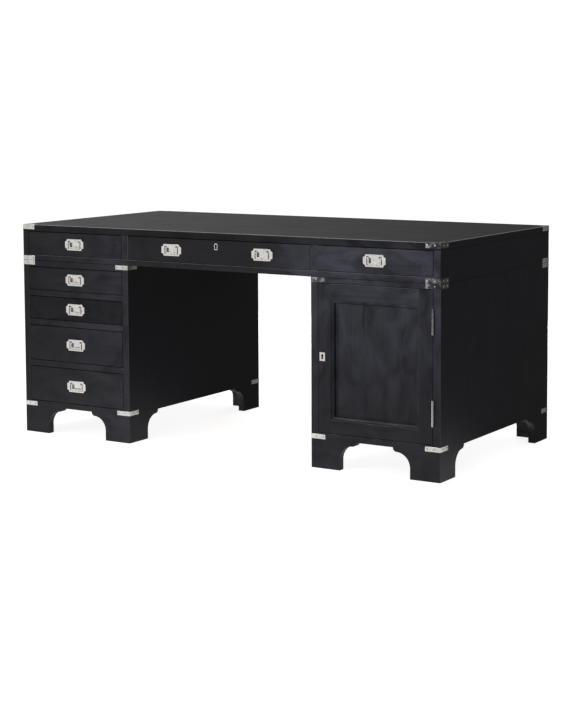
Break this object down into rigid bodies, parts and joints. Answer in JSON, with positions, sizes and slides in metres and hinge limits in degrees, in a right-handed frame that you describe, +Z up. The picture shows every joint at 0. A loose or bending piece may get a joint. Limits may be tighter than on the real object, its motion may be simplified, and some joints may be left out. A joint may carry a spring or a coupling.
{
  "type": "pedestal writing desk",
  "caption": "Black pedestal writing desk in campaign style, with drawers, a panelled cupboard, nickel flush handles, corner brackets and shaped bracket feet.",
  "frame": {"origin": "on the floor under the middle of the desk", "axes": "+X to the sitter's right along the front, +Y from the front to the back, +Z up"},
  "size_m": [1.7428, 0.8679, 0.78],
  "materials": {
    "ebonised_wood": "black stain under satin lacquer",
    "bare_wood": "planed, waxed",
    "nickel_plate": "polished nickel plate",
    "lock_steel": "filed steel"
  },
  "bodies": {
    "carcass": {"desk_top": "ebonised_wood", "top_section_ends": "ebonised_wood", "top_section_back": "ebonised_wood", "top_section_rails": "ebonised_wood", "top_section_dividers": "ebonised_wood", "pedestal_sides": "ebonised_wood", "pedestal_caps": "ebonised_wood", "pedestal_bottoms": "ebonised_wood", "pedestal_backs": "ebonised_wood", "drawer_rails": "ebonised_wood", "drawer_runners": "bare_wood", "cupboard_shelf": "ebonised_wood", "shelf_pegs": "bare_wood", "bracket_feet": "ebonised_wood", "locating_dowels": "bare_wood", "top_corner_brackets": "nickel_plate", "corner_brackets": "nickel_plate", "bracket_screws": "nickel_plate", "pedestal_hinge_leaves": "nickel_plate", "hinge_pins": "nickel_plate"},
    "door": {"door_stiles": "ebonised_wood", "door_rails": "ebonised_wood", "door_panel": "ebonised_wood", "door_moulding": "ebonised_wood", "door_hinge_leaves": "nickel_plate", "door_keyhole_plate": "nickel_plate", "door_lock_case": "lock_steel"},
    "door_bolt": {"door_lock_bolt": "lock_steel"},
    "upper_left_drawer": {"upper_left_drawer_front": "ebonised_wood", "upper_left_drawer_box": "bare_wood", "upper_left_drawer_handle_plate": "nickel_plate"},
    "upper_left_drawer_bail": {"upper_left_drawer_bail": "nickel_plate"},
    "centre_drawer": {"centre_drawer_front": "ebonised_wood", "centre_drawer_box": "bare_wood", "centre_drawer_handle_plate": "nickel_plate", "centre_drawer_keyhole_ring": "nickel_plate", "centre_drawer_lock_case": "lock_steel"},
    "centre_drawer_left_bail": {"centre_drawer_left_bail": "nickel_plate"},
    "centre_drawer_right_bail": {"centre_drawer_right_bail": "nickel_plate"},
    "upper_right_drawer": {"upper_right_drawer_front": "ebonised_wood", "upper_right_drawer_box": "bare_wood", "upper_right_drawer_handle_plate": "nickel_plate"},
    "upper_right_drawer_bail": {"upper_right_drawer_bail": "nickel_plate"},
    "pedestal_drawer_1": {"pedestal_drawer_1_front": "ebonised_wood", "pedestal_drawer_1_box": "bare_wood", "pedestal_drawer_1_handle_plate": "nickel_plate"},
    "pedestal_drawer_1_bail": {"pedestal_drawer_1_bail": "nickel_plate"},
    "pedestal_drawer_2": {"pedestal_drawer_2_front": "ebonised_wood", "pedestal_drawer_2_box": "bare_wood", "pedestal_drawer_2_handle_plate": "nickel_plate"},
    "pedestal_drawer_2_bail": {"pedestal_drawer_2_bail": "nickel_plate"},
    "pedestal_drawer_3": {"pedestal_drawer_3_front": "ebonised_wood", "pedestal_drawer_3_box": "bare_wood", "pedestal_drawer_3_handle_plate": "nickel_plate"},
    "pedestal_drawer_3_bail": {"pedestal_drawer_3_bail": "nickel_plate"},
    "pedestal_drawer_4": {"pedestal_drawer_4_front": "ebonised_wood", "pedestal_drawer_4_box": "bare_wood", "pedestal_drawer_4_handle_plate": "nickel_plate"},
    "pedestal_drawer_4_bail": {"pedestal_drawer_4_bail": "nickel_plate"},
    "centre_bolt": {"centre_drawer_lock_bolt": "lock_steel"}
  },
  "joints": [
    {"name": "door_swing", "type": "hinge", "parent": "carcass", "child": "door", "pos_m": [0.84325, -0.4325, 0.375], "axis": [0, 0, 1], "range_deg": [0, 110]},
    {"name": "door_bolt_slide", "type": "slide", "parent": "door", "child": "door_bolt", "axis": [-1, 0, 0], "range_m": [0, 0.01]},
    {"name": "upper_left_drawer_slide", "type": "slide", "parent": "carcass", "child": "upper_left_drawer", "axis": [0, -1, 0], "range_m": [0, 0.42]},
    {"name": "upper_left_drawer_bail_swing", "type": "hinge", "parent": "upper_left_drawer", "child": "upper_left_drawer_bail", "pos_m": [-0.627, -0.427, 0.7196], "axis": [-1, 0, 0], "range_deg": [0, 90]},
    {"name": "centre_drawer_slide", "type": "slide", "parent": "carcass", "child": "centre_drawer", "axis": [0, -1, 0], "range_m": [0, 0.42]},
    {"name": "centre_drawer_left_bail_swing", "type": "hinge", "parent": "centre_drawer", "child": "centre_drawer_left_bail", "pos_m": [-0.19, -0.427, 0.7196], "axis": [-1, 0, 0], "range_deg": [0, 90]},
    {"name": "centre_drawer_right_bail_swing", "type": "hinge", "parent": "centre_drawer", "child": "centre_drawer_right_bail", "pos_m": [0.19, -0.427, 0.7196], "axis": [-1, 0, 0], "range_deg": [0, 90]},
    {"name": "upper_right_drawer_slide", "type": "slide", "parent": "carcass", "child": "upper_right_drawer", "axis": [0, -1, 0], "range_m": [0, 0.42]},
    {"name": "upper_right_drawer_bail_swing", "type": "hinge", "parent": "upper_right_drawer", "child": "upper_right_drawer_bail", "pos_m": [0.627, -0.427, 0.7196], "axis": [-1, 0, 0], "range_deg": [0, 90]},
    {"name": "pedestal_drawer_1_slide", "type": "slide", "parent": "carcass", "child": "pedestal_drawer_1", "axis": [0, -1, 0], "range_m": [0, 0.42]},
    {"name": "pedestal_drawer_1_bail_swing", "type": "hinge", "parent": "pedestal_drawer_1", "child": "pedestal_drawer_1_bail", "pos_m": [-0.627, -0.427, 0.5891], "axis": [-1, 0, 0], "range_deg": [0, 90]},
    {"name": "pedestal_drawer_2_slide", "type": "slide", "parent": "carcass", "child": "pedestal_drawer_2", "axis": [0, -1, 0], "range_m": [0, 0.42]},
    {"name": "pedestal_drawer_2_bail_swing", "type": "hinge", "parent": "pedestal_drawer_2", "child": "pedestal_drawer_2_bail", "pos_m": [-0.627, -0.427, 0.4801], "axis": [-1, 0, 0], "range_deg": [0, 90]},
    {"name": "pedestal_drawer_3_slide", "type": "slide", "parent": "carcass", "child": "pedestal_drawer_3", "axis": [0, -1, 0], "range_m": [0, 0.42]},
    {"name": "pedestal_drawer_3_bail_swing", "type": "hinge", "parent": "pedestal_drawer_3", "child": "pedestal_drawer_3_bail", "pos_m": [-0.627, -0.427, 0.3486], "axis": [-1, 0, 0], "range_deg": [0, 90]},
    {"name": "pedestal_drawer_4_slide", "type": "slide", "parent": "carcass", "child": "pedestal_drawer_4", "axis": [0, -1, 0], "range_m": [0, 0.42]},
    {"name": "pedestal_drawer_4_bail_swing", "type": "hinge", "parent": "pedestal_drawer_4", "child": "pedestal_drawer_4_bail", "pos_m": [-0.627, -0.427, 0.1946], "axis": [-1, 0, 0], "range_deg": [0, 90]},
    {"name": "centre_bolt_slide", "type": "slide", "parent": "centre_drawer", "child": "centre_bolt", "axis": [0, 0, 1], "range_m": [0, 0.01]}
  ]
}
